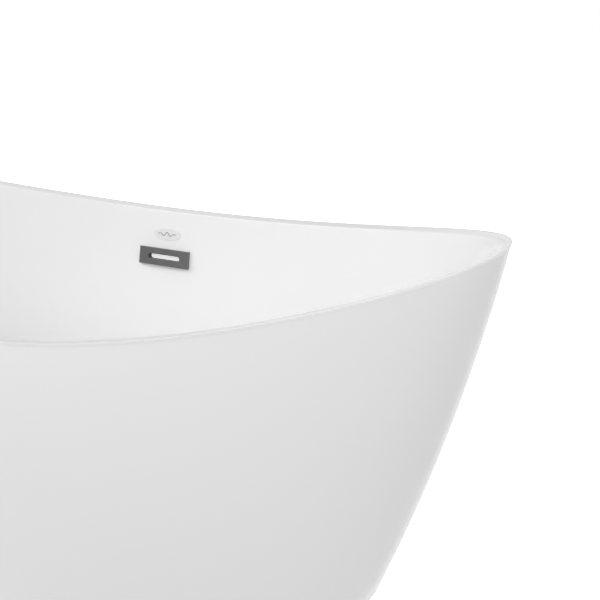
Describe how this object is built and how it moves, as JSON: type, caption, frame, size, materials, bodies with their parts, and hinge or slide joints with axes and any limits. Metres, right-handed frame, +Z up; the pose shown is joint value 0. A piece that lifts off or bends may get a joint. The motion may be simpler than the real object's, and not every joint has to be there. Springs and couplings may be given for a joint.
{
  "type": "freestanding bathtub",
  "caption": "Double-slipper freestanding bath with a thin dipped rim, a slotted overflow on one long side, a lifting waste stopper and levelling feet.",
  "frame": {"origin": "on the floor under the middle of the tub, the bottom centre of its box", "axes": "+X along the bath's length, +Y towards the side that has the overflow, +Z up"},
  "size_m": [1.7, 0.7984, 0.71],
  "materials": {
    "acrylic_basin": "glossy white cast acrylic",
    "acrylic_skirt": "glossy white cast acrylic",
    "adhesive": "cured bonding paste",
    "plywood": "resin-coated plywood",
    "frame_steel": "zinc-plated square tube",
    "zinc_steel": "bright zinc plate",
    "spring_steel": "drawn stainless wire",
    "rubber": "black moulded rubber",
    "foam": "closed-cell foam",
    "nylon": "natural nylon",
    "brass": "turned brass",
    "white_abs": "satin white moulding",
    "gunmetal": "satin gunmetal plate",
    "badge_metal": "satin"
  },
  "bodies": {
    "tub": {"inner_shell": "acrylic_basin", "outer_shell": "acrylic_skirt", "rim_bond_bead": "adhesive", "base_board": "plywood", "frame_rail_front": "frame_steel", "frame_rail_rear": "frame_steel", "crossbar_left": "frame_steel", "crossbar_centre": "frame_steel", "crossbar_right": "frame_steel", "drain_flange": "gunmetal", "drain_foam_washer": "foam", "drain_rubber_gasket": "rubber", "drain_slip_washer": "nylon", "drain_lock_nut": "brass", "drain_body": "white_abs", "tailpiece": "white_abs", "tailpiece_nut": "white_abs", "click_barrel": "brass", "click_spring": "spring_steel", "overflow_cover": "gunmetal", "overflow_bracket": "zinc_steel", "overflow_screw_left": "zinc_steel", "overflow_screw_right": "zinc_steel", "overflow_gasket": "rubber", "overflow_box": "white_abs", "overflow_pipe": "white_abs", "pipe_clamp_top": "zinc_steel", "pipe_clamp_bottom": "zinc_steel", "badge": "badge_metal", "board_screw_1": "zinc_steel", "board_screw_2": "zinc_steel", "board_screw_3": "zinc_steel", "board_screw_4": "zinc_steel", "board_screw_5": "zinc_steel", "board_screw_6": "zinc_steel", "support_nut_left_front": "zinc_steel", "lock_nut_left_front": "zinc_steel", "support_nut_left_rear": "zinc_steel", "lock_nut_left_rear": "zinc_steel", "support_nut_right_front": "zinc_steel", "lock_nut_right_front": "zinc_steel", "support_nut_right_rear": "zinc_steel", "lock_nut_right_rear": "zinc_steel", "support_nut_centre": "zinc_steel", "lock_nut_centre": "zinc_steel"},
    "stopper": {"stopper_cap": "gunmetal", "stopper_seal": "rubber", "stopper_stem": "brass"},
    "foot_left_front": {"foot_stud_left_front": "zinc_steel", "foot_pad_left_front": "rubber"},
    "foot_left_rear": {"foot_stud_left_rear": "zinc_steel", "foot_pad_left_rear": "rubber"},
    "foot_right_front": {"foot_stud_right_front": "zinc_steel", "foot_pad_right_front": "rubber"},
    "foot_right_rear": {"foot_stud_right_rear": "zinc_steel", "foot_pad_right_rear": "rubber"},
    "foot_centre": {"foot_stud_centre": "zinc_steel", "foot_pad_centre": "rubber"}
  },
  "joints": [
    {"name": "stopper_lift", "type": "slide", "parent": "tub", "child": "stopper", "axis": [0, 0, 1], "range_m": [0, 0.012], "deforming": ["click_spring"]},
    {"name": "foot_left_front_screw", "type": "slide", "parent": "tub", "child": "foot_left_front", "axis": [0, 0, -1], "range_m": [0, 0.02]},
    {"name": "foot_left_rear_screw", "type": "slide", "parent": "tub", "child": "foot_left_rear", "axis": [0, 0, -1], "range_m": [0, 0.02]},
    {"name": "foot_right_front_screw", "type": "slide", "parent": "tub", "child": "foot_right_front", "axis": [0, 0, -1], "range_m": [0, 0.02]},
    {"name": "foot_right_rear_screw", "type": "slide", "parent": "tub", "child": "foot_right_rear", "axis": [0, 0, -1], "range_m": [0, 0.02]},
    {"name": "foot_centre_screw", "type": "slide", "parent": "tub", "child": "foot_centre", "axis": [0, 0, -1], "range_m": [0, 0.02]}
  ]
}
